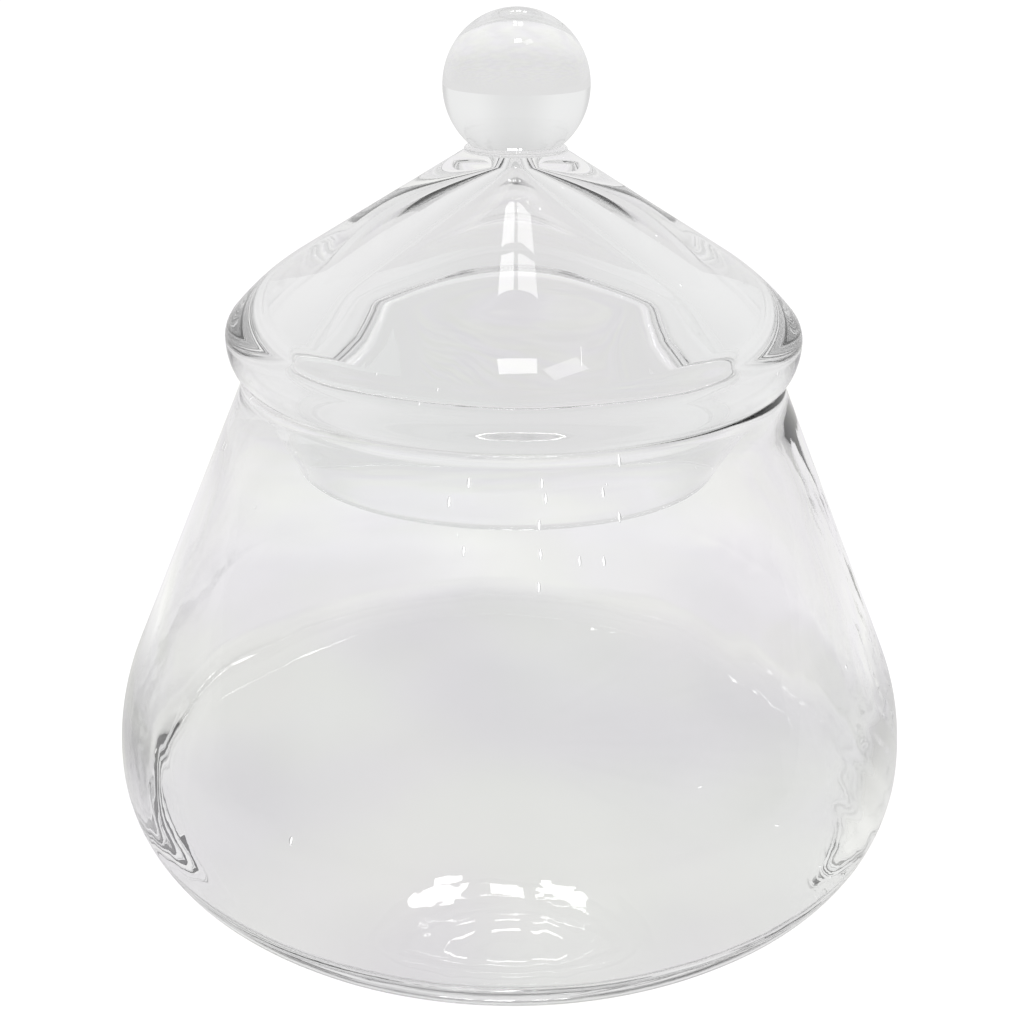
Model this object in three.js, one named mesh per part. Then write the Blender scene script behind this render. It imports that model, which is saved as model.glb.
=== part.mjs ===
// Apothecary jar with a lift-off lid, all in clear hand-blown glass.
// Millimetres, +Z up. The origin is the middle of the flat base, where the jar stands.
//
// Four separate pieces of glass:
//   jar_body     the vessel: flat base, round heel, tapering wall, open mouth with a rolled lip
//   lid_dome     the hollow lid: shallow cone, round shoulder, and the plug that hangs in the mouth
//   knob_collar  the thin disc of glass on top of the cone, which the knob is set on
//   knob_ball    the solid glass ball that the lid is lifted by
import * as THREE from 'three';

// ---- Driving dimensions -------------------------------------------------------------------

const turnSteps = 48;          // flats round every turned piece

// Jar: outside
const bellyRadius = 74.9;      // widest radius of the jar
const bellyHeight = 16;        // height of the widest place
const bellyCurve = 41.5;       // curve between the widest place and the straight wall
const footRadius = 63;         // edge of the flat base
const mouthRadius = 48.6;      // outside of the mouth
const jarHeight = 86.8;        // top of the lip
// Jar: glass
const jarWall = 3.3;           // thickness of the wall
const floorThickness = 7;      // thickness of the base
const floorCurve = 3.6;        // curve between the wall and the flat floor inside
const lipThickness = 3.8;      // thickness of the rolled lip at the mouth
const lipTaper = 9;            // height over which the wall thickens into the lip

// Lid: outside
const shoulderOverhang = 2;    // how far the lid reaches out past the mouth
const shoulderRise = 7.2;      // widest place of the lid, above the top of the lip
const shoulderCurve = 5.2;     // round edge above the widest place
const shoulderPitch = 49;      // slope of the lid where that round edge ends, in degrees
const crownCurve = 46;         // curve that eases the shoulder into the cone
const conePitch = 31.5;        // slope of the cone, in degrees
const coneLedge = 0.8;         // flat top of the cone, out past the collar
const tuckDepth = 3.6;         // how far the shoulder turns in below its widest place
// Lid: glass
const crownThickness = 5.9;    // glass between the top of the hollow and the top of the cone
const hollowTopCurve = 3;      // rounding of the top of the hollow
const seatThickness = 2.9;     // height of the hollow's edge above the face that rests on the lip
const hollowInset = 3.1;       // how far the hollow's edge is inside the top of the plug
const hollowEdgeCurve = 6;     // rounding where the hollow's cone meets the inside of the plug
// Lid: plug
const plugDepth = 16.5;        // how far the plug hangs below the top of the lip
const plugTaper = 5.5;         // how much the plug narrows down to its lower edge
const plugWall = 2;            // thickness of the plug
const plugFillet = 1.2;        // curve between the seat and the plug

// Knob
const collarRadius = 8.8;
const collarThickness = 1;
const ballRadius = 12.4;
const ballInset = 0.7;         // how far the ball's flat spot is inside the collar's edge

// Fits
const touchGap = 0.3;          // between pieces that rest on each other
const plugClearance = 1.3;     // between the plug and the inside of the mouth

// ---- Outlines ------------------------------------------------------------------------------

const radians = (degrees) => (degrees * Math.PI) / 180;
const point = (radius, height) => new THREE.Vector2(radius, height);

// An arc of an ellipse, both ends included. Angles are in degrees from straight out.
function arc(centre, radiusOut, radiusUp, fromAngle, toAngle, steps) {
  const points = [];
  for (let i = 0; i <= steps; i += 1) {
    const angle = radians(fromAngle + ((toAngle - fromAngle) * i) / steps);
    points.push(point(centre.x + radiusOut * Math.cos(angle), centre.y + radiusUp * Math.sin(angle)));
  }
  return points;
}

// The point at a distance from an arc's centre, at an angle in degrees.
function polar(centre, radius, angle) {
  return point(centre.x + radius * Math.cos(radians(angle)), centre.y + radius * Math.sin(radians(angle)));
}

// The angle at which a straight line from an outside point touches a circle. A turn of 1 takes the
// touching place anticlockwise from the direction of the point, and -1 takes the other one.
function tangentAngle(centre, radius, outside, turn) {
  const away = outside.clone().sub(centre);
  const towards = THREE.MathUtils.radToDeg(Math.atan2(away.y, away.x));
  return towards + turn * THREE.MathUtils.radToDeg(Math.acos(radius / away.length()));
}

// A rounded corner between two straight runs, as the arc that touches both.
function rounded(before, corner, after, radius, steps) {
  const back = before.clone().sub(corner).normalize();
  const on = after.clone().sub(corner).normalize();
  const half = back.angleTo(on) / 2;
  const centre = back.clone().add(on).setLength(radius / Math.sin(half)).add(corner);
  const reach = radius / Math.tan(half);
  const start = back.multiplyScalar(reach).add(corner).sub(centre);
  const end = on.multiplyScalar(reach).add(corner).sub(centre);
  const from = THREE.MathUtils.radToDeg(Math.atan2(start.y, start.x));
  const to = THREE.MathUtils.radToDeg(Math.atan2(end.y, end.x));
  return arc(centre, radius, radius, from, to, steps);
}

// The outline with each repeated point dropped.
function tidy(outline) {
  const nearest = 0.05;
  return outline.filter((here, i) => i === 0 || here.distanceTo(outline[i - 1]) > nearest);
}

// A turned solid. Its outline starts and ends on the axis and runs up the outside.
function turned(outline) {
  const geometry = new THREE.LatheGeometry(tidy(outline), turnSteps);
  return geometry.rotateX(Math.PI / 2);
}

// ---- Jar -----------------------------------------------------------------------------------

function jarOutline() {
  const lipRound = lipThickness / 2;
  const lipCentre = point(mouthRadius - lipRound, jarHeight - lipRound);
  const bellyCentre = point(bellyRadius - bellyCurve, bellyHeight);
  const wallTop = point(mouthRadius, lipCentre.y);
  const lean = tangentAngle(bellyCentre, bellyCurve, wallTop, -1);

  const base = [point(0, 0)];
  const heel = arc(point(footRadius, bellyHeight), bellyRadius - footRadius, bellyHeight, -90, 0, 7);
  const belly = arc(bellyCentre, bellyCurve, bellyCurve, 0, lean, 4);
  const lip = arc(lipCentre, lipRound, lipRound, 0, 180, 8);

  // The inside keeps the wall's thickness and thickens into the lip.
  const insideCurve = bellyCurve - jarWall;
  const wallFoot = polar(bellyCentre, insideCurve, lean);
  const slope = (wallTop.x - polar(bellyCentre, bellyCurve, lean).x)
    / (wallTop.y - polar(bellyCentre, bellyCurve, lean).y);
  const lipFoot = point(wallFoot.x + slope * (lipCentre.y - lipTaper - wallFoot.y), lipCentre.y - lipTaper);
  const insideBelly = arc(bellyCentre, insideCurve, insideCurve, lean, 0, 4);
  const floorCorner = point(bellyRadius - jarWall - floorCurve, floorThickness + floorCurve);
  const insideHeel = arc(floorCorner, floorCurve, floorCurve, 0, -90, 6);
  const floor = [point(0, floorThickness)];

  return [...base, ...heel, ...belly, ...lip, lipFoot, ...insideBelly, ...insideHeel, ...floor];
}

// ---- Lid -----------------------------------------------------------------------------------

const coneTopRadius = collarRadius + coneLedge;
const shoulderRadius = mouthRadius + shoulderOverhang;
const seatHeight = jarHeight + touchGap;
const shoulderHeight = jarHeight + shoulderRise;
const shoulderCentre = point(shoulderRadius - shoulderCurve, shoulderHeight);
const shoulderEndAngle = 90 - shoulderPitch;
const coneAngle = 90 - conePitch;
const crownCentre = polar(
  polar(shoulderCentre, shoulderCurve, shoulderEndAngle), crownCurve, shoulderEndAngle + 180);
const coneFoot = polar(crownCentre, crownCurve, coneAngle);
const coneRise = Math.tan(radians(conePitch));
const coneTop = coneFoot.y + (coneFoot.x - coneTopRadius) * coneRise;

function lidOutline() {
  const mouthInside = mouthRadius - lipThickness;
  const plugTopRadius = mouthInside - plugClearance;
  const plugTipRadius = plugTopRadius - plugTaper;
  const plugTip = jarHeight - plugDepth;
  const tipRound = plugWall / 2;
  const tipCentre = point(plugTipRadius - tipRound, plugTip + tipRound);

  // The hollow: a round top, a cone down to its edge, then the inside of the plug.
  const topCentre = point(0, coneTop - crownThickness - hollowTopCurve);
  const hollowEdge = point(plugTopRadius - hollowInset, seatHeight + seatThickness);
  const hollowPitch = tangentAngle(topCentre, hollowTopCurve, hollowEdge, 1);
  const hollowTop = arc(topCentre, hollowTopCurve, hollowTopCurve, 90, hollowPitch, 4);
  const plugInside = point(plugTipRadius - plugWall, tipCentre.y);
  const edge = rounded(hollowTop[hollowTop.length - 1], hollowEdge, plugInside, hollowEdgeCurve, 5);
  const tip = arc(tipCentre, tipRound, tipRound, 180, 360, 5);

  // The outside: up the plug, along the seat, round the shoulder and up the cone.
  const seatCorner = point(plugTopRadius + plugFillet, seatHeight - plugFillet);
  const seatFillet = arc(seatCorner, plugFillet, plugFillet, 180, 90, 3);
  const tuckCentre = point(shoulderRadius - tuckDepth, shoulderHeight);
  const tuck = arc(tuckCentre, tuckDepth, shoulderHeight - seatHeight, -90, 0, 5);
  const shoulder = arc(shoulderCentre, shoulderCurve, shoulderCurve, 0, shoulderEndAngle, 4);
  const crown = arc(crownCentre, crownCurve, crownCurve, shoulderEndAngle, coneAngle, 3);
  const top = [point(coneTopRadius, coneTop), point(0, coneTop)];

  return [...hollowTop, ...edge, ...tip, ...seatFillet, ...tuck, ...shoulder, ...crown, ...top];
}

// ---- Knob ----------------------------------------------------------------------------------

const collarBottom = coneTop + touchGap;
const collarTop = collarBottom + collarThickness;

function collarOutline() {
  const edgeRound = collarThickness / 2;
  const edgeCentre = point(collarRadius - edgeRound, collarBottom + edgeRound);
  const edge = arc(edgeCentre, edgeRound, edgeRound, -90, 90, 5);
  return [point(0, collarBottom), ...edge, point(0, collarTop)];
}

function ballOutline() {
  const ballSeatRadius = collarRadius - ballInset;
  const seatDrop = Math.sqrt(ballRadius ** 2 - ballSeatRadius ** 2);
  const seatAngle = -THREE.MathUtils.radToDeg(Math.atan2(seatDrop, ballSeatRadius));
  const centre = point(0, collarTop + touchGap + seatDrop);
  const round = arc(centre, ballRadius, ballRadius, seatAngle, 90, 14);
  return [point(0, centre.y - seatDrop), ...round];
}

// ---- Assembly ------------------------------------------------------------------------------

function clearGlass() {
  return new THREE.MeshStandardMaterial({
    color: 0xeef1f0,
    roughness: 0.02,
    metalness: 0,
    transparent: true,
    opacity: 0.35,
  });
}

function piece(name, outline) {
  const mesh = new THREE.Mesh(turned(outline), clearGlass());
  mesh.name = name;
  return mesh;
}

const jar = new THREE.Group();
jar.add(piece('jar_body', jarOutline()));

const lid = new THREE.Group();
lid.add(piece('lid_dome', lidOutline()));
lid.add(piece('knob_collar', collarOutline()));
lid.add(piece('knob_ball', ballOutline()));

const apothecaryJar = new THREE.Group();
apothecaryJar.add(jar, lid);

export default apothecaryJar;
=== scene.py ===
"""A clear glass apothecary jar with a lift-off lid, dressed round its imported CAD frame.

Each of the two pieces of glass is turned from the outline of its half section, made a little uneven as
hand-blown glass is, and given its seeds, the small bubbles of air shut in the glass. Outlines are in
millimetres, heights are above the surface that the jar stands on, and meshes are in metres.
"""

import logging
import math
from collections.abc import Sequence
from dataclasses import dataclass, field, replace
from enum import Enum
from typing import Any

import bpy
from mathutils import Matrix, Vector


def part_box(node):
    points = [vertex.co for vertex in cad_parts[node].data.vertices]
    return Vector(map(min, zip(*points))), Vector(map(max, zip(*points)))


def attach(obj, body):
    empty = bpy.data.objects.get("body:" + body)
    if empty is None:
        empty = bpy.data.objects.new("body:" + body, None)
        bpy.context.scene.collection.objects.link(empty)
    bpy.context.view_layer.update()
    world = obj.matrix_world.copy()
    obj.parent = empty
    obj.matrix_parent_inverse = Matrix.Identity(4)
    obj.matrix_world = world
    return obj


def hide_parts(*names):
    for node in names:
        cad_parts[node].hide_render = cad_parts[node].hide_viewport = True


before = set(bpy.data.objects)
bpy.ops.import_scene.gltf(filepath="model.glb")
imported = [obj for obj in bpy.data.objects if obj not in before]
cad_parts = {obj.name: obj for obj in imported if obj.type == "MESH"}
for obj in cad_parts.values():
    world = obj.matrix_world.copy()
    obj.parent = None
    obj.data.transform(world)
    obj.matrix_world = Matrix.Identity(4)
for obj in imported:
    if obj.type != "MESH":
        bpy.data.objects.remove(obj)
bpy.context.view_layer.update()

log = logging.getLogger("apothecary_jar")

MM = 0.001
HOLLOW = "hollow"
Point = tuple[float, float]
Colour = tuple[float, float, float]


# ---- Outlines --------------------------------------------------------------------------------------


def on_circle(centre: Point, radius: float, degrees: float) -> Point:
    """A point on a circle.

    Args:
        centre: Middle of the circle.
        radius: Radius of the circle.
        degrees: Angle from straight out, turning upwards.

    Returns:
        The point at that angle.
    """
    angle = math.radians(degrees)
    return centre[0] + radius * math.cos(angle), centre[1] + radius * math.sin(angle)


def tangent_angle(centre: Point, radius: float, outside: Point) -> float:
    """The angle at which a straight line from an outside point touches the outer side of a circle.

    Args:
        centre: Middle of the circle.
        radius: Radius of the circle.
        outside: The point that the line comes from.

    Returns:
        The angle in degrees, from straight out.
    """
    out, up = outside[0] - centre[0], outside[1] - centre[1]
    return math.degrees(math.atan2(up, out) - math.acos(radius / math.hypot(out, up)))


@dataclass
class Outline:
    """Half of the section through a turned piece, from the axis, round the glass and back to the axis."""

    points: list[Point] = field(default_factory=list)
    nearest: float = 0.02

    def add(self, *points: Point) -> None:
        """Add points, leaving out any that repeats the one before it.

        Args:
            points: Radius and height of each point.
        """
        for point in points:
            if not self.points or math.dist(point, self.points[-1]) > self.nearest:
                self.points.append(point)

    def line(self, end: Point, steps: int = 8) -> None:
        """Run straight from the last point.

        Args:
            end: Where the line ends.
            steps: Number of equal parts.
        """
        start = self.points[-1]
        for k in range(1, steps + 1):
            part = k / steps
            self.add((start[0] + (end[0] - start[0]) * part, start[1] + (end[1] - start[1]) * part))

    def arc(self, centre: Point, radii: Point, start: float, end: float, steps: int = 16) -> None:
        """Add an arc of an ellipse, both ends included.

        Args:
            centre: Middle of the ellipse.
            radii: Half its width and half its height.
            start: First angle in degrees, from straight out.
            end: Last angle in degrees.
            steps: Number of parts.
        """
        for k in range(steps + 1):
            angle = math.radians(start + (end - start) * k / steps)
            self.add((centre[0] + radii[0] * math.cos(angle), centre[1] + radii[1] * math.sin(angle)))

    def corner(self, tip: Point, after: Point, radius: float, steps: int = 14) -> None:
        """Run to a corner and round it.

        Args:
            tip: The sharp corner that is rounded.
            after: A point on the way on from the corner.
            radius: Radius of the rounding.
            steps: Number of parts in the rounding.
        """
        corner = Vector(tip)
        back = (Vector(self.points[-1]) - corner).normalized()
        on = (Vector(after) - corner).normalized()
        half = back.angle(on) / 2
        centre = corner + (back + on).normalized() * radius / math.sin(half)
        first = corner + back * radius / math.tan(half) - centre
        last = corner + on * radius / math.tan(half) - centre
        self.line(tuple(centre + first), 10)
        turn = first.angle_signed(last)
        for k in range(1, steps + 1):
            self.add(tuple(centre + Matrix.Rotation(-turn * k / steps, 2) @ first))

    def place(self, degrees: float, height: float, depth: float, start: int = 0) -> Vector:
        """A place in the glass, a little way in from the outside.

        Args:
            degrees: Angle round the axis from the front, turning to the right.
            height: Height of the place.
            depth: Distance in from the outside.
            start: First point that counts as the outside.

        Returns:
            The place, in metres.
        """
        radius = self.points[start][0]
        for here, there in zip(self.points[start:], self.points[start + 1 :]):
            if here[1] <= height < there[1]:
                radius = here[0] + (there[0] - here[0]) * (height - here[1]) / (there[1] - here[1])
                break
        turn = math.radians(degrees)
        return Vector(((radius - depth) * math.sin(turn), (depth - radius) * math.cos(turn), height)) * MM

    def mesh(
        self, name: str, hollow: tuple[int, int], fade: float, glass: bpy.types.Material
    ) -> bpy.types.Mesh:
        """The outline as a wire in the XZ plane, which says how far inside the glass each point is.

        Args:
            name: Name of the mesh.
            hollow: First and last point of the hollow.
            fade: Length of outline over which the hollow begins, in millimetres.
            glass: Material of the piece.

        Returns:
            A mesh of edges with the point attribute HOLLOW, from 0 on the outside to 1 inside.
        """
        count = len(self.points)
        wire = bpy.data.meshes.new(name)
        wire.from_pydata(
            [(radius * MM, 0, height * MM) for radius, height in self.points],
            [(k, k + 1) for k in range(count - 1)],
            [],
        )
        lengths = [0.0]
        for here, there in zip(self.points, self.points[1:]):
            lengths.append(lengths[-1] + math.dist(here, there))
        first, last = hollow
        ends_inside = self.points[last][0] < self.nearest
        shares = []
        for k in range(count):
            run = lengths[k] - lengths[first] if ends_inside else lengths[last] - lengths[k]
            share = min(max(run / fade, 0), 1) if first <= k <= last else 0
            shares.append(share * share * (3 - 2 * share))
        wire.attributes.new(HOLLOW, "FLOAT", "POINT").data.foreach_set("value", shares)
        wire.materials.append(glass)
        return wire


# ---- Node trees ------------------------------------------------------------------------------------


class TreeKind(Enum):
    """What a node tree makes."""

    GEOMETRY = "GeometryNodeTree"
    SHADER = "ShaderNodeTree"


class SocketKind(Enum):
    """What a named input or output of a node tree carries."""

    NUMBER = "NodeSocketFloat"
    WHOLE = "NodeSocketInt"
    VECTOR = "NodeSocketVector"
    COLOUR = "NodeSocketColor"
    SHAPE = "NodeSocketGeometry"
    OBJECT = "NodeSocketObject"
    MATERIAL = "NodeSocketMaterial"


class Tree:
    """A node tree that is being made."""

    def __init__(self, tree: bpy.types.NodeTree) -> None:
        """Start on a tree.

        Args:
            tree: The tree that the nodes go in.
        """
        self.tree = tree
        self.source: bpy.types.Node | None = None

    @classmethod
    def group(
        cls,
        name: str,
        kind: TreeKind,
        inputs: dict[str, tuple[SocketKind, Any]],
        outputs: dict[str, SocketKind],
    ) -> "Tree":
        """Make a new group.

        Args:
            name: Name of the group.
            kind: What it makes.
            inputs: Kind and starting value of each input, by name.
            outputs: Kind of each output, by name.

        Returns:
            The group, with nothing in it but its inputs.
        """
        tree = bpy.data.node_groups.new(name, kind.value)
        for label, (socket_kind, value) in inputs.items():
            socket = tree.interface.new_socket(name=label, in_out="INPUT", socket_type=socket_kind.value)
            if value is not None:
                socket.default_value = value
        for label, socket_kind in outputs.items():
            tree.interface.new_socket(name=label, in_out="OUTPUT", socket_type=socket_kind.value)
        made = cls(tree)
        made.source = tree.nodes.new("NodeGroupInput")
        return made

    def given(self, name: str) -> bpy.types.NodeSocket:
        """One of the group's own inputs, by name."""
        return self.source.outputs[name]

    def give(self, **results: bpy.types.NodeSocket) -> None:
        """Connect the group's outputs.

        Args:
            results: What each output carries, by its name.
        """
        sink = self.tree.nodes.new("NodeGroupOutput")
        for name, socket in results.items():
            self.tree.links.new(socket, sink.inputs[name])

    def node(
        self, kind: str, inputs: dict[str | int, Any] | None = None, **settings: Any
    ) -> bpy.types.Node:
        """Add a node.

        Args:
            kind: Blender's name for the node's type.
            inputs: A value or another node's output for each input, by name or place.
            settings: The node's own settings.

        Returns:
            The new node.
        """
        node = self.tree.nodes.new(kind)
        for name, value in settings.items():
            setattr(node, name, value)
        for key, value in (inputs or {}).items():
            if isinstance(value, bpy.types.NodeSocket):
                self.tree.links.new(value, node.inputs[key])
            else:
                node.inputs[key].default_value = value
        return node

    def link(self, result: bpy.types.NodeSocket, target: bpy.types.NodeSocket) -> None:
        """Connect one node's result to another node's input."""
        self.tree.links.new(result, target)

    def together(self, *shapes: bpy.types.NodeSocket) -> bpy.types.NodeSocket:
        """Several shapes as one.

        Args:
            shapes: The shapes.

        Returns:
            All of them together.
        """
        node = self.node("GeometryNodeJoinGeometry")
        for shape in shapes:
            self.link(shape, node.inputs[0])
        return node.outputs[0]

    def sum(self, operation: str, *values: Any) -> bpy.types.NodeSocket:
        """A sum on numbers.

        Args:
            operation: Blender's name for it, such as MULTIPLY.
            values: The numbers that go in.

        Returns:
            The result.
        """
        return self.node("ShaderNodeMath", dict(enumerate(values)), operation=operation).outputs[0]

    def vector(self, operation: str, *values: Any) -> bpy.types.NodeSocket:
        """A sum on vectors.

        Args:
            operation: Blender's name for it, such as SCALE.
            values: The vectors that go in, and for SCALE the number last.

        Returns:
            The result.
        """
        inputs = dict(enumerate(values))
        if operation == "SCALE":
            inputs = {0: values[0], "Scale": values[1]}
        node = self.node("ShaderNodeVectorMath", inputs, operation=operation)
        return node.outputs["Value" if operation in ("DOT_PRODUCT", "LENGTH") else "Vector"]

    def split(self, vector: bpy.types.NodeSocket) -> tuple[bpy.types.NodeSocket, ...]:
        """The three parts of a vector."""
        return tuple(self.node("ShaderNodeSeparateXYZ", {0: vector}).outputs)

    def joined(self, *parts: Any) -> bpy.types.NodeSocket:
        """A vector from its three parts."""
        return self.node("ShaderNodeCombineXYZ", dict(enumerate(parts))).outputs[0]

    def noise(self, place: bpy.types.NodeSocket, scale: Any, detail: float = 2.0) -> bpy.types.NodeSocket:
        """Smooth noise from 0 to 1.

        Args:
            place: Where it is read.
            scale: Waves in one unit of length.
            detail: How many finer layers it has.

        Returns:
            The noise.
        """
        inputs = {"Vector": place, "Scale": scale, "Detail": detail}
        return self.node("ShaderNodeTexNoise", inputs).outputs[0]

    def ranged(self, value: Any, source: Point, target: Point) -> bpy.types.NodeSocket:
        """A number moved from one range to another with soft ends.

        Args:
            value: The number.
            source: Low and high end of its range.
            target: What they become.

        Returns:
            The number in its new range.
        """
        inputs = {0: value, 1: source[0], 2: source[1], 3: target[0], 4: target[1]}
        return self.node("ShaderNodeMapRange", inputs, interpolation_type="SMOOTHSTEP").outputs[0]


def settled(piece: bpy.types.Object, tree: bpy.types.NodeTree, values: dict[str, Any]) -> None:
    """Run a geometry tree on a piece and keep what it makes as the piece's plain mesh.

    Args:
        piece: The object whose mesh goes into the tree.
        tree: The geometry tree.
        values: The tree's inputs, by name.
    """
    modifier = piece.modifiers.new(tree.name, "NODES")
    modifier.node_group = tree
    sockets = {item.name: item.identifier for item in tree.interface.items_tree if item.in_out == "INPUT"}
    for name, value in values.items():
        modifier[sockets[name]] = value
    evaluated = piece.evaluated_get(bpy.context.evaluated_depsgraph_get())
    mesh = bpy.data.meshes.new_from_object(evaluated)
    piece.modifiers.remove(modifier)
    piece.data = mesh


class GlassShaping:
    """The geometry trees that both pieces of glass go through."""

    def __init__(self) -> None:
        """Make the two trees."""
        self.turning = self._turning()
        self.seeding = self._seeding()

    def _turning(self) -> bpy.types.NodeTree:
        """The tree that turns an outline into a closed, slightly uneven body of glass.

        Returns:
            The geometry tree.
        """
        inputs = {
            "Geometry": (SocketKind.SHAPE, None),
            "Facets": (SocketKind.WHOLE, 320),
            "Hollow Shift": (SocketKind.VECTOR, (0, 0, 0)),
            "Sway": (SocketKind.NUMBER, 0.0),
            "Hollow Sway": (SocketKind.NUMBER, 0.0),
            "Sway Size": (SocketKind.NUMBER, 0.03),
            "Ridge Height": (SocketKind.NUMBER, 0.0),
            "Ridge Size": (SocketKind.NUMBER, 0.005),
            "Ridge Length": (SocketKind.NUMBER, 0.05),
            "Even Height": (SocketKind.NUMBER, 1.0),
            "Twist": (SocketKind.NUMBER, 0.0),
            "Ridge Side": (SocketKind.VECTOR, (1, 0, 0)),
            "Seed": (SocketKind.NUMBER, 0.0),
            "Glass": (SocketKind.MATERIAL, None),
        }
        tree = Tree.group("turned_glass", TreeKind.GEOMETRY, inputs, {"Geometry": SocketKind.SHAPE})
        outline = tree.given("Geometry")
        count = tree.node("GeometryNodeAttributeDomainSize", {0: outline}).outputs["Point Count"]
        columns = tree.sum("ADD", tree.given("Facets"), 1.0)
        grid = tree.node("GeometryNodeMeshGrid", {"Vertices X": columns, "Vertices Y": count})
        index = tree.node("GeometryNodeInputIndex").outputs[0]
        column = tree.sum("FLOOR", tree.sum("DIVIDE", tree.sum("ADD", index, 0.5), count))
        row = tree.sum("SUBTRACT", index, tree.sum("MULTIPLY", column, count))

        def along(value: bpy.types.NodeSocket, data_type: str) -> bpy.types.NodeSocket:
            """Read a value from the outline's point for this row.

            Args:
                value: The value.
                data_type: Blender's name for its type.

            Returns:
                The value at that point.
            """
            sampled = tree.node(
                "GeometryNodeSampleIndex",
                {"Geometry": outline, "Value": value, "Index": row},
                data_type=data_type,
            )
            return sampled.outputs[0]

        position = tree.node("GeometryNodeInputPosition").outputs[0]
        radius, _, height = tree.split(along(position, "FLOAT_VECTOR"))
        hollow_named = tree.node("GeometryNodeInputNamedAttribute", {"Name": HOLLOW}, data_type="FLOAT")
        hollow_named = hollow_named.outputs[0]
        angle = tree.sum("MULTIPLY", tree.sum("DIVIDE", column, tree.given("Facets")), math.tau)
        across = tree.sum("MULTIPLY", radius, tree.sum("SINE", angle))
        depth = tree.sum("MULTIPLY", tree.sum("MULTIPLY", radius, tree.sum("COSINE", angle)), -1.0)
        turned = tree.node(
            "GeometryNodeSetPosition",
            {"Geometry": grid.outputs[0], "Position": tree.joined(across, depth, height)},
        )
        marked = tree.node(
            "GeometryNodeStoreNamedAttribute",
            {"Geometry": turned.outputs[0], "Name": HOLLOW, "Value": along(hollow_named, "FLOAT")},
            data_type="FLOAT",
            domain="POINT",
        )
        closed = tree.node("GeometryNodeMergeByDistance", {"Geometry": marked.outputs[0], "Distance": 1e-6})

        seed = tree.joined(tree.given("Seed"), 0.0, 0.0)
        waves = tree.sum("DIVIDE", 1.0, tree.given("Sway Size"))
        sway = tree.noise(tree.vector("ADD", tree.vector("SCALE", position, waves), seed), 1.0, 1.0)
        sway_height = tree.node(
            "ShaderNodeMix",
            {0: hollow_named, 2: tree.given("Sway"), 3: tree.given("Hollow Sway")},
        ).outputs[0]
        sway = tree.sum("MULTIPLY", tree.sum("MULTIPLY", tree.sum("SUBTRACT", sway, 0.5), 4.0), sway_height)

        turn = tree.sum("MULTIPLY", tree.split(position)[2], tree.given("Twist"))
        wound = tree.node(
            "ShaderNodeVectorRotate", {"Vector": position, "Angle": turn}, rotation_type="Z_AXIS"
        ).outputs[0]
        squeeze = tree.sum("DIVIDE", tree.given("Ridge Size"), tree.given("Ridge Length"))
        wound = tree.vector("MULTIPLY", wound, tree.joined(1.0, 1.0, squeeze))
        ridge_waves = tree.sum("DIVIDE", 1.0, tree.given("Ridge Size"))
        ridge = tree.noise(tree.vector("ADD", tree.vector("SCALE", wound, ridge_waves), seed), 1.0, 1.0)
        facing = tree.vector("DOT_PRODUCT", tree.vector("NORMALIZE", position), tree.given("Ridge Side"))
        up = tree.sum("DIVIDE", tree.split(position)[2], tree.given("Even Height"))
        low_hollow = tree.sum("MULTIPLY", hollow_named, tree.ranged(up, (0.6, 1.0), (1.0, 0.1)))
        strength = tree.sum("MULTIPLY", tree.ranged(facing, (-0.4, 1.0), (0.2, 1.0)), low_hollow)
        ridge = tree.sum("MULTIPLY", tree.sum("SUBTRACT", ridge, 0.5), tree.given("Ridge Height"))
        ridge = tree.sum("MULTIPLY", ridge, strength)

        normal = tree.node("GeometryNodeInputNormal").outputs[0]
        push = tree.vector("SCALE", normal, tree.sum("ADD", sway, ridge))
        shift = tree.vector("SCALE", tree.given("Hollow Shift"), hollow_named)
        uneven = tree.node(
            "GeometryNodeSetPosition",
            {"Geometry": closed.outputs[0], "Offset": tree.vector("ADD", push, shift)},
        )
        smooth = tree.node("GeometryNodeSetShadeSmooth", {"Geometry": uneven.outputs[0]})
        real = tree.node("GeometryNodeRealizeInstances", {0: smooth.outputs[0]})
        glass = tree.node(
            "GeometryNodeSetMaterial", {"Geometry": real.outputs[0], "Material": tree.given("Glass")}
        )
        tree.give(Geometry=glass.outputs[0])
        return tree.tree

    def _seeding(self) -> bpy.types.NodeTree:
        """The tree that adds seeds: long bubbles whose faces look into the air inside them.

        Returns:
            The geometry tree.
        """
        inputs = {
            "Geometry": (SocketKind.SHAPE, None),
            "Places": (SocketKind.OBJECT, None),
            "Density": (SocketKind.NUMBER, 0.0),
            "Depth": (SocketKind.NUMBER, 0.0015),
            "Width": (SocketKind.NUMBER, 0.0004),
            "Longest": (SocketKind.NUMBER, 4.0),
            "Seed": (SocketKind.WHOLE, 1),
            "Glass": (SocketKind.MATERIAL, None),
            "Lining": (SocketKind.MATERIAL, None),
        }
        tree = Tree.group("air_seeds", TreeKind.GEOMETRY, inputs, {"Geometry": SocketKind.SHAPE})
        body = tree.given("Geometry")
        hollow = tree.node("GeometryNodeInputNamedAttribute", {"Name": HOLLOW}, data_type="FLOAT")
        outside = tree.sum("LESS_THAN", hollow.outputs[0], 0.01)
        scattered = tree.node(
            "GeometryNodeDistributePointsOnFaces",
            {
                "Mesh": body,
                "Selection": outside,
                "Density": tree.given("Density"),
                "Seed": tree.given("Seed"),
            },
        )
        sunk = tree.node(
            "GeometryNodeSetPosition",
            {
                "Geometry": scattered.outputs["Points"],
                "Offset": tree.vector(
                    "SCALE",
                    scattered.outputs["Normal"],
                    tree.sum("MULTIPLY", tree.given("Depth"), -1.0),
                ),
            },
        )
        places = tree.node("GeometryNodeObjectInfo", {"Object": tree.given("Places")})
        chosen = tree.node("GeometryNodeMeshToPoints", {"Mesh": places.outputs["Geometry"]})
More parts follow.
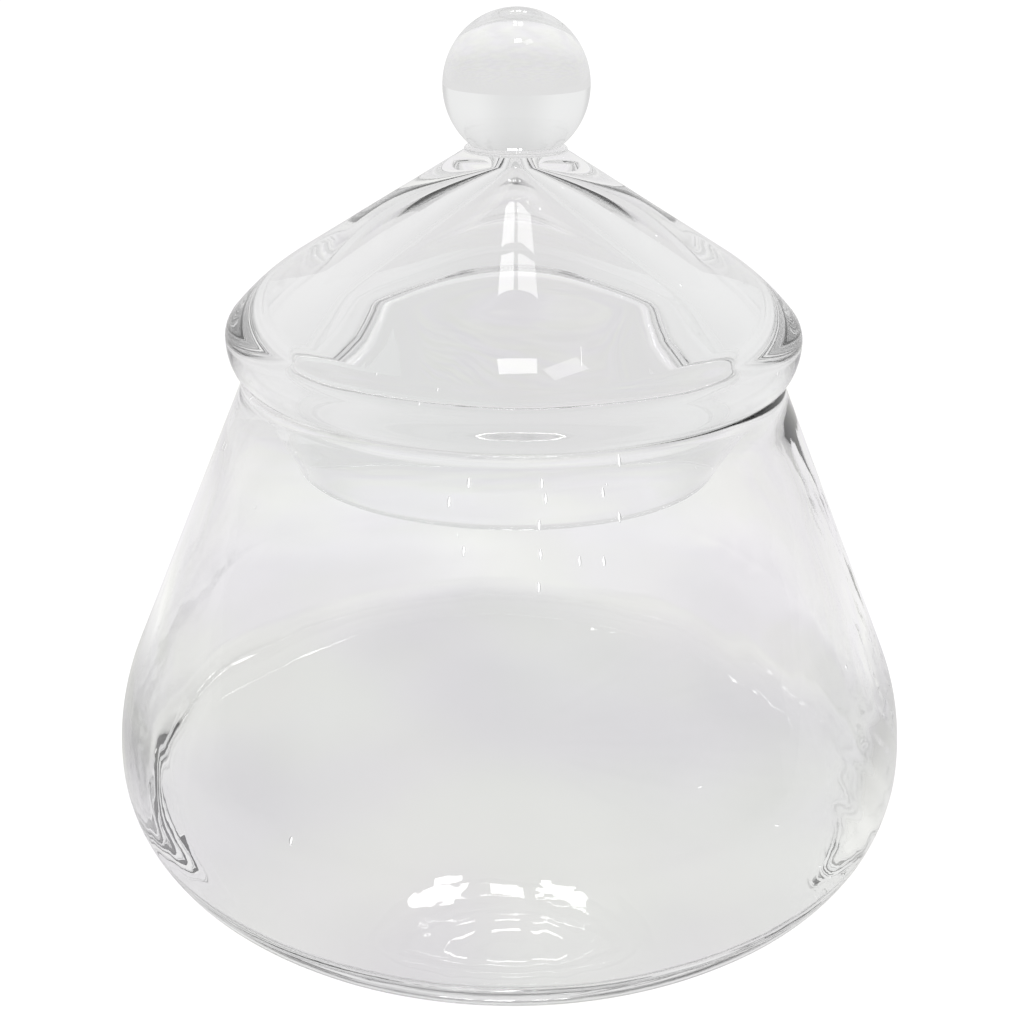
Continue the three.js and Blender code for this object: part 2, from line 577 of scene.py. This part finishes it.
        points = tree.together(sunk.outputs[0], chosen.outputs[0])

        position = tree.node("GeometryNodeInputPosition").outputs[0]
        normal = tree.node("GeometryNodeInputNormal").outputs[0]
        near = tree.node(
            "GeometryNodeSampleNearestSurface",
            {"Mesh": body, "Value": normal, "Sample Position": position},
            data_type="FLOAT_VECTOR",
        ).outputs[0]
        lean = tree.vector("DOT_PRODUCT", near, (0.0, 0.0, 1.0))
        uphill = tree.vector("SUBTRACT", (0.0, 0.0, 1.0), tree.vector("SCALE", near, lean))
        turn = tree.node("FunctionNodeAlignRotationToVector", {"Vector": uphill}, axis="Z").outputs[0]

        def random(low: float, high: Any, offset: float) -> bpy.types.NodeSocket:
            """A random number for each seed.

            Args:
                low: Lowest it can be.
                high: Highest it can be.
                offset: Added to the tree's seed, so that each use has numbers of its own.

            Returns:
                The number.
            """
            seed = tree.sum("ADD", tree.given("Seed"), offset)
            limits = {2: low, 3: high, "Seed": seed}
            return tree.node("FunctionNodeRandomValue", limits, data_type="FLOAT").outputs[1]

        width = tree.sum("MULTIPLY", tree.given("Width"), random(0.6, 1.25, 1.0))
        length = tree.sum("MULTIPLY", width, random(1.2, tree.given("Longest"), 2.0))
        bubble = tree.node("GeometryNodeMeshUVSphere", {"Segments": 8, "Rings": 7, "Radius": 0.5})
        lining = tree.node("GeometryNodeFlipFaces", {0: bubble.outputs[0]})
        seeds = tree.node(
            "GeometryNodeInstanceOnPoints",
            {
                "Points": points,
                "Instance": lining.outputs[0],
                "Rotation": turn,
                "Scale": tree.joined(width, width, length),
            },
        )
        real = tree.node("GeometryNodeRealizeInstances", {0: seeds.outputs[0]})
        smooth = tree.node("GeometryNodeSetShadeSmooth", {"Geometry": real.outputs[0]})
        glass = tree.node("GeometryNodeSetMaterial", {"Geometry": body, "Material": tree.given("Glass")})
        # The lining material carries the painted glint.
        air = tree.node(
            "GeometryNodeSetMaterial", {"Geometry": smooth.outputs[0], "Material": tree.given("Lining")}
        )
        tree.give(Geometry=tree.together(air.outputs[0], glass.outputs[0]))
        return tree.tree


# ---- Finishes --------------------------------------------------------------------------------------


class GlassEffects:
    """The shader groups that the finishes share, each made once."""

    def __init__(self) -> None:
        """Make the groups."""
        self.ripple = self._ripple()
        self.cast = self._cast()
        self.handling = self._handling()

    def _ripple(self) -> bpy.types.NodeTree:
        """Height of the fine waves that the blower's tools leave, drawn out along the turning.

        Returns:
            A group with the output Height.
        """
        inputs = {
            "Position": (SocketKind.VECTOR, None),
            "Size": (SocketKind.NUMBER, 0.006),
            "Stretch": (SocketKind.NUMBER, 4.0),
            "Twist": (SocketKind.NUMBER, 0.0),
        }
        tree = Tree.group("tool_ripple", TreeKind.SHADER, inputs, {"Height": SocketKind.NUMBER})
        place = tree.given("Position")
        turn = tree.sum("MULTIPLY", tree.split(place)[2], tree.given("Twist"))
        place = tree.node(
            "ShaderNodeVectorRotate", {"Vector": place, "Angle": turn}, rotation_type="Z_AXIS"
        ).outputs[0]
        squeeze = tree.sum("DIVIDE", 1.0, tree.given("Stretch"))
        place = tree.vector("MULTIPLY", place, tree.joined(1.0, 1.0, squeeze))
        waves = tree.noise(place, tree.sum("DIVIDE", 1.0, tree.given("Size")), 2.0)
        tree.give(Height=waves)
        return tree.tree

    def _cast(self) -> bpy.types.NodeTree:
        """Colour of the glass, which drifts a little between two casts from place to place.

        Returns:
            A group with the output Colour.
        """
        inputs = {
            "Position": (SocketKind.VECTOR, None),
            "Size": (SocketKind.NUMBER, 0.04),
            "Colour": (SocketKind.COLOUR, (1, 1, 1, 1)),
            "Other Colour": (SocketKind.COLOUR, (1, 1, 1, 1)),
        }
        tree = Tree.group("colour_cast", TreeKind.SHADER, inputs, {"Colour": SocketKind.COLOUR})
        drift = tree.noise(tree.given("Position"), tree.sum("DIVIDE", 1.0, tree.given("Size")), 2.0)
        drift = tree.ranged(drift, (0.35, 0.65), (0.0, 1.0))
        mixed = tree.node(
            "ShaderNodeMix",
            {0: drift, 6: tree.given("Colour"), 7: tree.given("Other Colour")},
            data_type="RGBA",
        )
        tree.give(Colour=mixed.outputs[2])
        return tree.tree

    def _handling(self) -> bpy.types.NodeTree:
        """How dull the surface is where fingers and dust have touched it.

        Returns:
            A group with the output Roughness.
        """
        inputs = {
            "Position": (SocketKind.VECTOR, None),
            "Size": (SocketKind.NUMBER, 0.012),
            "Clean": (SocketKind.NUMBER, 0.0),
            "Touched": (SocketKind.NUMBER, 0.05),
        }
        tree = Tree.group("handling_marks", TreeKind.SHADER, inputs, {"Roughness": SocketKind.NUMBER})
        marks = tree.noise(tree.given("Position"), tree.sum("DIVIDE", 1.0, tree.given("Size")), 4.0)
        marks = tree.ranged(marks, (0.58, 0.8), (0.0, 1.0))
        spread = tree.sum("SUBTRACT", tree.given("Touched"), tree.given("Clean"))
        tree.give(Roughness=tree.sum("ADD", tree.sum("MULTIPLY", marks, spread), tree.given("Clean")))
        return tree.tree


@dataclass(frozen=True)
class ClearGlass:
    """Finish of clear hand-blown glass."""

    name: str
    colour: Colour
    other_colour: Colour
    ripple_height: float = 0.00002
    ripple_size: float = 0.006
    ripple_stretch: float = 4.0
    twist: float = 0.0
    touched: float = 0.03
    index: float = 1.5
    # Strength of a white emission: a painted glint.
    painted_glint: float = 0.0

    def material(self, effects: GlassEffects) -> bpy.types.Material:
        """Make the material.

        Args:
            effects: The shared shader groups.

        Returns:
            The finish as a Blender material.
        """
        material = bpy.data.materials.new(self.name)
        material.use_nodes = True
        tree = Tree(material.node_tree)
        shader = material.node_tree.nodes["Principled BSDF"]
        shader.inputs["Transmission Weight"].default_value = 1.0
        shader.inputs["IOR"].default_value = self.index
        # White emission: the painted glint.
        shader.inputs["Emission Color"].default_value = (1.0, 1.0, 1.0, 1.0)
        shader.inputs["Emission Strength"].default_value = self.painted_glint
        place = tree.node("ShaderNodeTexCoord").outputs["Object"]

        def effect(group: bpy.types.NodeTree, values: dict[str, Any]) -> bpy.types.NodeSocket:
            """Place one shared group.

            Args:
                group: The group.
                values: Its own values here, by name.

            Returns:
                What the group puts out.
            """
            return tree.node("ShaderNodeGroup", {"Position": place, **values}, node_tree=group).outputs[0]

        colours = {"Colour": (*self.colour, 1.0), "Other Colour": (*self.other_colour, 1.0)}
        tree.link(effect(effects.cast, colours), shader.inputs["Base Color"])
        dullness = effect(effects.handling, {"Touched": self.touched})
        tree.link(dullness, shader.inputs["Roughness"])
        waves = {"Size": self.ripple_size, "Stretch": self.ripple_stretch, "Twist": self.twist}
        ripple = effect(effects.ripple, waves)
        bump = tree.node("ShaderNodeBump", {"Height": ripple, "Distance": self.ripple_height})
        tree.link(bump.outputs[0], shader.inputs["Normal"])
        return material


@dataclass(frozen=True)
class LitFloor:
    """Finish of the pale studio floor, which glows with painted light and shows as clean white round the
    jar.
    """

    name: str = "studio_floor"
    colour: Colour = (0.12, 0.12, 0.12)
    other_colour: Colour = (0.08, 0.08, 0.08)
    colour_size: float = 0.04
    tint: Colour = (0.985, 0.968, 1.0)
    other_tint: Colour = (1.0, 1.0, 0.972)
    tint_size: float = 0.07
    glow: float = 0.85
    # Glow beneath the jar, lower than elsewhere: painted shade.
    under_shadow_glow: float = 0.73
    under_shadow_reach: Point = (0.06, 0.13)
    # Glow far off and towards the camera, lower: a painted fall-off of the light.
    far_glow: float = 0.70
    far_reach: Point = (0.15, 0.45)
    near_glow: float = 0.64
    near_reach: Point = (-0.45, -0.15)
    # Glow at the two sides of the jar, lower: painted shadows.
    side_shadow_glow: float = 0.50
    side_shadow_place: Point = (0.12, 0.02)
    side_shadow_reach: float = 0.09
    cloud: float = 0.06
    cloud_size: float = 0.0625
    cloud_reach: Point = (0.1, 0.3)
    seen_directly: float = 1.05

    def material(self, effects: GlassEffects) -> bpy.types.Material:
        """Make the material.

        Args:
            effects: The shared shader groups.

        Returns:
            The finish as a Blender material.
        """
        material = bpy.data.materials.new(self.name)
        material.use_nodes = True
        tree = Tree(material.node_tree)
        shader = material.node_tree.nodes["Principled BSDF"]
        shader.inputs["Roughness"].default_value = 0.9
        shader.inputs["Specular IOR Level"].default_value = 0.0
        place = tree.node("ShaderNodeTexCoord").outputs["Object"]
        pairs = (
            ("Base Color", self.colour, self.other_colour, self.colour_size),
            ("Emission Color", self.tint, self.other_tint, self.tint_size),
        )
        for name, colour, other, size in pairs:
            colours = {"Colour": (*colour, 1.0), "Other Colour": (*other, 1.0)}
            values = {"Position": place, "Size": size, **colours}
            cast = tree.node("ShaderNodeGroup", values, node_tree=effects.cast)
            tree.link(cast.outputs[0], shader.inputs[name])
        across, back, _ = tree.split(place)
        distance = tree.vector("LENGTH", place)
        # The glow is painted light: painted shadows at the jar's sides, painted shade beneath it, darker
        # far off and towards the camera, and varied at random by the clouds.
        out = tree.sum("SUBTRACT", tree.sum("ABSOLUTE", across), self.side_shadow_place[0])
        off = tree.joined(out, tree.sum("SUBTRACT", back, self.side_shadow_place[1]), 0.0)
        side_shadow = tree.ranged(tree.vector("LENGTH", off), (0.0, self.side_shadow_reach), (self.side_shadow_glow, self.glow))
        under = tree.ranged(distance, self.under_shadow_reach, (self.under_shadow_glow, self.glow))
        far = tree.ranged(distance, self.far_reach, (self.glow, self.far_glow))
        near = tree.ranged(back, self.near_reach, (self.near_glow, self.glow))
        clouds = tree.noise(place, 1.0 / self.cloud_size, 1.0)
        clouds = tree.ranged(clouds, (0.3, 0.7), (-self.cloud, self.cloud))
        clouds = tree.sum("MULTIPLY", clouds, tree.ranged(distance, self.cloud_reach, (1.0, 0.0)))
        glow = tree.sum("MINIMUM", tree.sum("MINIMUM", side_shadow, near), tree.sum("MINIMUM", under, far))
        glow = tree.sum("MULTIPLY", glow, tree.sum("ADD", clouds, 1.0))
        direct = tree.node("ShaderNodeLightPath").outputs["Is Camera Ray"]
        glow = tree.sum("MAXIMUM", glow, tree.sum("MULTIPLY", direct, self.seen_directly))
        tree.link(glow, shader.inputs["Emission Strength"])
        return material


# ---- Blown glass -----------------------------------------------------------------------------------


@dataclass(frozen=True)
class Unevenness:
    """How far a piece of blown glass strays from true round, in millimetres."""

    seed: float
    sway: float
    hollow_sway: float
    sway_size: float
    hollow_shift: float = 0.0
    ridge_height: float = 0.0
    ridge_size: float = 5.0
    ridge_length: float = 50.0
    ridge_side: tuple[float, float, float] = (1.0, 0.0, 0.0)
    even_height: float = 1000.0
    twist: float = 0.0

    def inputs(self) -> dict[str, Any]:
        """The turning tree's inputs.

        Returns:
            Each input's value in metres, by its name.
        """
        return {
            "Hollow Shift": (self.hollow_shift * MM, 0.0, 0.0),
            "Sway": self.sway * MM,
            "Hollow Sway": self.hollow_sway * MM,
            "Sway Size": self.sway_size * MM,
            "Ridge Height": self.ridge_height * MM,
            "Ridge Size": self.ridge_size * MM,
            "Ridge Length": self.ridge_length * MM,
            "Even Height": self.even_height * MM,
            "Twist": self.twist,
            "Ridge Side": self.ridge_side,
            "Seed": self.seed,
        }


@dataclass(frozen=True)
class AirSeeds:
    """The seeds of air in a piece of glass, in millimetres, and how many there are in a square metre.

    Each chosen place is an angle in degrees from the front, turning to the right, and a height.
    """

    name: str
    seed: int
    density: float
    width: float
    depth: float
    longest: float
    places: Sequence[tuple[float, float]]
    # How brightly the seeds' lining glows white: a painted glint.
    painted_glint: float = 0.3


@dataclass
class BlownGlass:
    """What the jar and the lid share: how an outline becomes a piece of blown glass."""

    finish: ClearGlass
    uneven: Unevenness
    seeds: AirSeeds
    hollow_fade: float
    facets: int

    def blown(
        self,
        name: str,
        outline: Outline,
        hollow: tuple[int, int],
        shaping: GlassShaping,
        effects: GlassEffects,
    ) -> bpy.types.Object:
        """Turn an outline into a piece of glass and shut the seeds in it.

        Args:
            name: Name of the piece.
            outline: The outline.
            hollow: First and last point of the hollow, which is at one end of the outline.
            shaping: The geometry trees.
            effects: The shader groups.

        Returns:
            The piece, not yet riding on a body.
        """
        glass = self.finish.material(effects)
        piece = bpy.data.objects.new(name, outline.mesh(f"{name}_outline", hollow, self.hollow_fade, glass))
        bpy.context.scene.collection.objects.link(piece)
        settled(piece, shaping.turning, {"Facets": self.facets, "Glass": glass, **self.uneven.inputs()})

        seeds = self.seeds
        # Where the outline starts in the hollow, the outside comes after it.
        start = hollow[1] if hollow[0] == 0 else 0
        places = [outline.place(angle, height, seeds.depth, start) for angle, height in seeds.places]
        mesh = bpy.data.meshes.new("seed_places")
        mesh.from_pydata(places, [], [])
        marker = bpy.data.objects.new("seed_places", mesh)
        bpy.context.scene.collection.objects.link(marker)
        # The lining is the glass finish with a painted glint in its emission.
        lining = replace(self.finish, name=seeds.name, ripple_height=0.0, painted_glint=seeds.painted_glint)
        values = {
            "Places": marker,
            "Density": seeds.density,
            "Depth": seeds.depth * MM,
            "Width": seeds.width * MM,
            "Longest": seeds.longest,
            "Seed": seeds.seed,
            "Glass": glass,
            "Lining": lining.material(effects),
        }
        settled(piece, shaping.seeding, values)
        bpy.data.objects.remove(marker)
        piece.data.name = name
        return piece


# ---- The jar ---------------------------------------------------------------------------------------


@dataclass
class Jar(BlownGlass):
    """The vessel: flat base, round heel, tapering wall and an open mouth with a rolled lip."""

    node: str = "jar_body"
    body: str = "jar"
    slot: str = "body_glass"
    belly_height: float = 16.0
    belly_curve: float = 41.5
    foot_radius: float = 63.0
    mouth_radius: float = 48.6
    wall: float = 3.3
    floor_thickness: float = 7.0
    floor_radius: float = 68.0
    lip_thickness: float = 3.8
    lip_taper: float = 9.0
    hollow_fade: float = 14.0
    facets: int = 360
    uneven: Unevenness = Unevenness(
        seed=3.0,
        sway=0.05,
        hollow_sway=0.1,
        sway_size=26.0,
        hollow_shift=-1.1,
        ridge_height=0.5,
        ridge_size=5.0,
        ridge_length=60.0,
        ridge_side=(0.94, 0.34, 0.0),
        even_height=74.0,
        twist=12.0,
    )
    seeds: AirSeeds = AirSeeds(
        name="jar_air_seeds_painted_glint",
        seed=5,
        density=400.0,
        width=0.58,
        depth=1.2,
        longest=3.6,
        places=(
            (-7.7, 82.7), (-10.9, 79.9), (5.2, 82.8), (5.8, 80.7), (16.0, 81.0), (19.7, 85.2), (18.5, 77.4),
            (4.6, 77.1), (-7.8, 73.3), (4.7, 73.1), (11.0, 71.9), (15.0, 71.6), (4.3, 68.6),
        ),
    )

    def __post_init__(self) -> None:
        """Take the overall size from the CAD piece."""
        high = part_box(self.node)[1]
        self.belly_radius = high.x / MM
        self.height = high.z / MM

    def _outline(self) -> tuple[Outline, int]:
        """The jar's half section.

        Returns:
            The outline and the number of its first point inside the mouth.
        """
        lip = self.lip_thickness / 2
        lip_centre = (self.mouth_radius - lip, self.height - lip)
        belly_centre = (self.belly_radius - self.belly_curve, self.belly_height)
        wall_top = (self.mouth_radius, lip_centre[1])
        lean = tangent_angle(belly_centre, self.belly_curve, wall_top)
        wall_foot = on_circle(belly_centre, self.belly_curve, lean)
        slope = (wall_top[0] - wall_foot[0]) / (wall_top[1] - wall_foot[1])
        inner_curve = self.belly_curve - self.wall
        inner_foot = on_circle(belly_centre, inner_curve, lean)
        taper_height = lip_centre[1] - self.lip_taper
        taper = (inner_foot[0] + slope * (taper_height - inner_foot[1]), taper_height)

        outline = Outline([(0, 0)])
        outline.line((self.foot_radius, 0), 6)
        heel = (self.belly_radius - self.foot_radius, self.belly_height)
        outline.arc((self.foot_radius, self.belly_height), heel, -90, 0, 36)
        outline.arc(belly_centre, (self.belly_curve, self.belly_curve), 0, lean, 18)
        outline.line(wall_top, 14)
        outline.arc(lip_centre, (lip, lip), 0, 180, 24)
        # The hollow begins part of the way round the lip.
        inside = len(outline.points) - 10
        outline.line(taper, 8)
        outline.line(inner_foot, 12)
        outline.arc(belly_centre, (inner_curve, inner_curve), lean, 0, 18)
        curve = self.belly_radius - self.wall - self.floor_radius
        corner = (self.floor_radius, self.floor_thickness + curve)
        outline.line((corner[0] + curve, corner[1]), 6)
        outline.arc(corner, (curve, curve), 0, -90, 24)
        outline.line((0, self.floor_thickness), 8)
        return outline, inside

    def build(self, shaping: GlassShaping, effects: GlassEffects) -> bpy.types.Object:
        """Make the jar and put it in the place of its CAD piece.

        Args:
            shaping: The geometry trees.
            effects: The shader groups.

        Returns:
            The finished piece.
        """
        outline, inside = self._outline()
        piece = self.blown("jar_glass", outline, (inside, len(outline.points) - 1), shaping, effects)
        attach(piece, self.body)
        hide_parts(self.node)
        return piece


# ---- The lid ---------------------------------------------------------------------------------------


@dataclass
class Lid(BlownGlass):
    """The lid: hollow cone, round shoulder, the plug that hangs in the mouth, and the ball on top."""

    dome: str = "lid_dome"
    collar: str = "knob_collar"
    ball: str = "knob_ball"
    body: str = "lid"
    slot: str = "lid_glass"
    shoulder_rise: float = 7.2
    shoulder_curve: float = 5.2
    shoulder_pitch: float = 49.0
    crown_curve: float = 46.0
    cone_pitch: float = 31.5
    cone_top_radius: float = 9.0
    tuck_depth: float = 3.6
    seat_height: float = 87.0
    seat_lift: float = 0.2
    plug_top_radius: float = 43.5
    plug_tip_radius: float = 38.0
    plug_wall: float = 2.0
    plug_fillet: float = 1.2
    hollow_edge: Point = (40.4, 90.0)
    hollow_edge_round: float = 6.0
    hollow_top: float = 119.0
    hollow_round: float = 3.0
    collar_radius: float = 8.8
    collar_thickness: float = 0.8
    ball_seat_radius: float = 7.6
    hollow_fade: float = 8.0
    facets: int = 320
    uneven: Unevenness = Unevenness(seed=11.0, sway=0.03, hollow_sway=0.08, sway_size=22.0)
    seeds: AirSeeds = AirSeeds(
        name="lid_air_seeds_painted_glint",
        seed=8,
        density=500.0,
        width=0.35,
        depth=0.9,
        longest=2.2,
        places=((-25.0, 98.0), (-16.0, 95.0), (-13.0, 97.0), (12.0, 118.0)),
    )

    def __post_init__(self) -> None:
        """Take the overall sizes from the CAD pieces."""
        low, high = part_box(self.dome)
        self.shoulder_radius = high.x / MM
        self.plug_tip = low.z / MM
        self.ball_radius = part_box(self.ball)[1].x / MM

    def _outline(self) -> tuple[Outline, int]:
        """The lid's half section, from the top of the hollow to the top of the ball.

        Returns:
            The outline and the number of its last point inside the hollow.
        """
        shoulder_height = self.seat_height - self.seat_lift + self.shoulder_rise
        shoulder_centre = (self.shoulder_radius - self.shoulder_curve, shoulder_height)
        shoulder_end = 90 - self.shoulder_pitch
        cone_angle = 90 - self.cone_pitch
        crown_end = on_circle(shoulder_centre, self.shoulder_curve, shoulder_end)
        crown_centre = on_circle(crown_end, self.crown_curve, shoulder_end + 180)
        cone_foot = on_circle(crown_centre, self.crown_curve, cone_angle)
        rise = math.tan(math.radians(self.cone_pitch))
        cone_top = cone_foot[1] + (cone_foot[0] - self.cone_top_radius) * rise

        tip = self.plug_wall / 2
        tip_centre = (self.plug_tip_radius - tip, self.plug_tip + tip)
        plug_inside = (self.plug_tip_radius - self.plug_wall, tip_centre[1])
        pitch = math.atan2(self.hollow_top - self.hollow_edge[1], self.hollow_edge[0])
        round_centre = self.hollow_top - self.hollow_round / math.cos(pitch)
        outline = Outline()
        outline.arc((0, round_centre), (self.hollow_round,) * 2, 90, 90 - math.degrees(pitch), 10)
        outline.corner(self.hollow_edge, plug_inside, self.hollow_edge_round)
        outline.line(plug_inside, 10)
        inside = len(outline.points) - 1
        outline.arc(tip_centre, (tip, tip), 180, 360, 18)
        seat = (self.plug_top_radius, self.seat_height)
        outline.corner(seat, (seat[0] + 10, seat[1]), self.plug_fillet, 10)
        tuck_centre = (self.shoulder_radius - self.tuck_depth, shoulder_height)
        outline.arc(tuck_centre, (self.tuck_depth, shoulder_height - self.seat_height), -90, 0, 20)
        outline.arc(shoulder_centre, (self.shoulder_curve,) * 2, 0, shoulder_end, 16)
        outline.arc(crown_centre, (self.crown_curve,) * 2, shoulder_end, cone_angle, 14)
        outline.line((self.cone_top_radius, cone_top), 14)

        bead = self.collar_thickness / 2
        outline.arc((self.collar_radius - bead, cone_top + bead), (bead, bead), -90, 90, 10)
        drop = math.sqrt(self.ball_radius**2 - self.ball_seat_radius**2)
        ball_centre = (0.0, cone_top + self.collar_thickness + drop)
        start = -math.degrees(math.atan2(drop, self.ball_seat_radius))
        outline.arc(ball_centre, (self.ball_radius,) * 2, start, 90, 60)
        outline.points[-1] = (0.0, ball_centre[1] + self.ball_radius)
        return outline, inside

    def build(self, shaping: GlassShaping, effects: GlassEffects) -> bpy.types.Object:
        """Make the lid and put it in the place of its CAD pieces.

        Args:
            shaping: The geometry trees.
            effects: The shader groups.

        Returns:
            The finished piece.
        """
        outline, inside = self._outline()
        piece = self.blown("lid_glass", outline, (0, inside), shaping, effects)
        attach(piece, self.body)
        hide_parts(self.dome, self.collar, self.ball)
        return piece


# ---- The studio ------------------------------------------------------------------------------------


@dataclass(frozen=True)
class Lamp:
    """A soft rectangular lamp."""

    name: str
    place: tuple[float, float, float]
    aim: tuple[float, float, float]
    width: float
    length: float
    radiance: float
    seen_through: bool = False

    def build(self) -> None:
        """Make the lamp."""
        light = bpy.data.lights.new(self.name, "AREA")
        light.shape = "RECTANGLE"
        light.size = self.width
        light.size_y = self.length
        light.energy = self.radiance * math.pi * self.width * self.length
        lamp = bpy.data.objects.new(self.name, light)
        turn = (Vector(self.aim) - Vector(self.place)).to_track_quat("-Z", "Y")
        lamp.matrix_world = Matrix.Translation(self.place) @ turn.to_matrix().to_4x4()
        lamp.visible_camera = False
        lamp.visible_transmission = self.seen_through
        bpy.context.scene.collection.objects.link(lamp)


@dataclass(frozen=True)
class WhiteRoom:
    """The soft white room round the jar. What the glass shows of it varies a little with direction."""

    name: str = "white_room"
    level: float = 0.84
    overhead: float = 0.70
    far_side: float = 0.70
    middle: float = 0.92
    off_middle: float = 1.03
    behind: float = 0.88
    seen_directly: float = 1.1

    def build(self) -> None:
        """Make the room and use it."""
        world = bpy.data.worlds.new(self.name)
        world.use_nodes = True
        tree = Tree(world.node_tree)
        across, back, up = tree.split(tree.node("ShaderNodeTexCoord").outputs["Generated"])
        off = tree.sum("ABSOLUTE", across)
        side = tree.ranged(off, (0.80, 0.97), (1.0, self.far_side))
        middle = tree.ranged(off, (0.05, 0.40), (self.middle, self.off_middle))
        light = tree.ranged(up, (0.1, 0.9), (self.level, self.overhead))
        light = tree.sum("MULTIPLY", light, tree.sum("MULTIPLY", side, middle))
        light = tree.sum("MULTIPLY", light, tree.ranged(back, (-0.6, 0.5), (self.behind, 1.0)))
        direct = tree.node("ShaderNodeLightPath").outputs["Is Camera Ray"]
        light = tree.sum("MAXIMUM", light, tree.sum("MULTIPLY", direct, self.seen_directly))
        background = world.node_tree.nodes["Background"]
        tree.link(light, background.inputs["Strength"])
        background.inputs["Color"].default_value = (1.0, 1.0, 1.0, 1.0)
        bpy.context.scene.world = world


@dataclass
class Studio:
    """The camera, the pale floor, the white room and its lamps."""

    floor_finish: LitFloor
    room: WhiteRoom
    distance: float = 0.2420
    eye_height: float = 0.1593
    pitch: float = 22.72
    roll: float = 0.60
    focal_length: float = 48.97
    sensor: float = 36.0
    floor_half: float = 8.0
    floor_drop: float = 0.0003
    lamps: Sequence[Lamp] = ()

    def camera(self) -> None:
        """Make the camera and use it."""
        lens = bpy.data.cameras.new("camera")
        lens.sensor_width = self.sensor
        lens.lens = self.focal_length
        lens.clip_start = 0.01
        camera = bpy.data.objects.new("camera", lens)
        place = Matrix.Translation((0, -self.distance, self.eye_height))
        tilt = Matrix.Rotation(math.radians(90 - self.pitch), 4, "X")
        camera.matrix_world = place @ tilt @ Matrix.Rotation(math.radians(self.roll), 4, "Z")
        bpy.context.scene.collection.objects.link(camera)
        bpy.context.scene.camera = camera

    def floor(self, effects: GlassEffects) -> None:
        """Make the floor.

        Args:
            effects: The shader groups.
        """
        half, drop = self.floor_half, -self.floor_drop
        mesh = bpy.data.meshes.new("studio_floor")
        corners = [(-half, -half, drop), (half, -half, drop), (half, half, drop), (-half, half, drop)]
        mesh.from_pydata(corners, [], [(0, 1, 2, 3)])
        floor = bpy.data.objects.new("studio_floor", mesh)
        mesh.materials.append(self.floor_finish.material(effects))
        bpy.context.scene.collection.objects.link(floor)

    def build(self, effects: GlassEffects) -> None:
        """Make everything in the studio.

        Args:
            effects: The shader groups.
        """
        self.camera()
        self.floor(effects)
        self.room.build()
        for lamp in self.lamps:
            lamp.build()
        scene = bpy.context.scene
        scene.view_settings.view_transform = "Standard"
        scene.cycles.max_bounces = 32
        scene.cycles.transmission_bounces = 32
        scene.cycles.glossy_bounces = 16


def window_lamps() -> list[Lamp]:
    """The window panes that show as small bright shapes on the glass.

    Returns:
        Two overhead strips of panes, two panes above the camera and a row of three at the back.
    """
    ceiling = 1.2
    lamps = []
    for row in range(4):
        back = 0.24 + 0.055 * row
        for side, across, width, radiance in (("left", -0.04, 0.07, 4.5), ("right", 0.06, 0.09, 3.5)):
            place, below = (across, back, ceiling), (across, back, 0)
            lamps.append(Lamp(f"strip_{side}_{row}", place, below, width, 0.046, radiance))
    lamps.append(Lamp("front_middle", (0.02, -0.32, ceiling), (0, 0, 0), 0.20, 0.14, 6.0))
    lamps.append(Lamp("front_right", (0.28, -0.32, ceiling), (0, 0, 0), 0.23, 0.12, 2.5))
    for name, across, width in (("left", -0.071, 0.038), ("middle", 0.016, 0.062), ("right", 0.102, 0.054)):
        lamps.append(Lamp(f"pane_{name}", (across, 1.10, 0.988), (0, 0, 0.05), width, 0.06, 9.0, True))
    return lamps


def main() -> None:
    """Build the studio, the jar and the lid in order."""
    logging.basicConfig(level=logging.INFO, format="%(name)s: %(message)s", force=True)
    effects = GlassEffects()
    shaping = GlassShaping()
    Studio(LitFloor(), WhiteRoom(), lamps=window_lamps()).build(effects)
    casts = ((0.99, 0.987, 0.99), (0.984, 0.99, 0.987))
    jar = Jar(ClearGlass("jar_clear_glass", *casts, ripple_height=0.00001))
    lid = Lid(ClearGlass("lid_clear_glass", *casts, ripple_height=0.000005))
    for assembly in (jar, lid):
        assembly.build(shaping, effects)


if __name__ == "__main__":
    main()
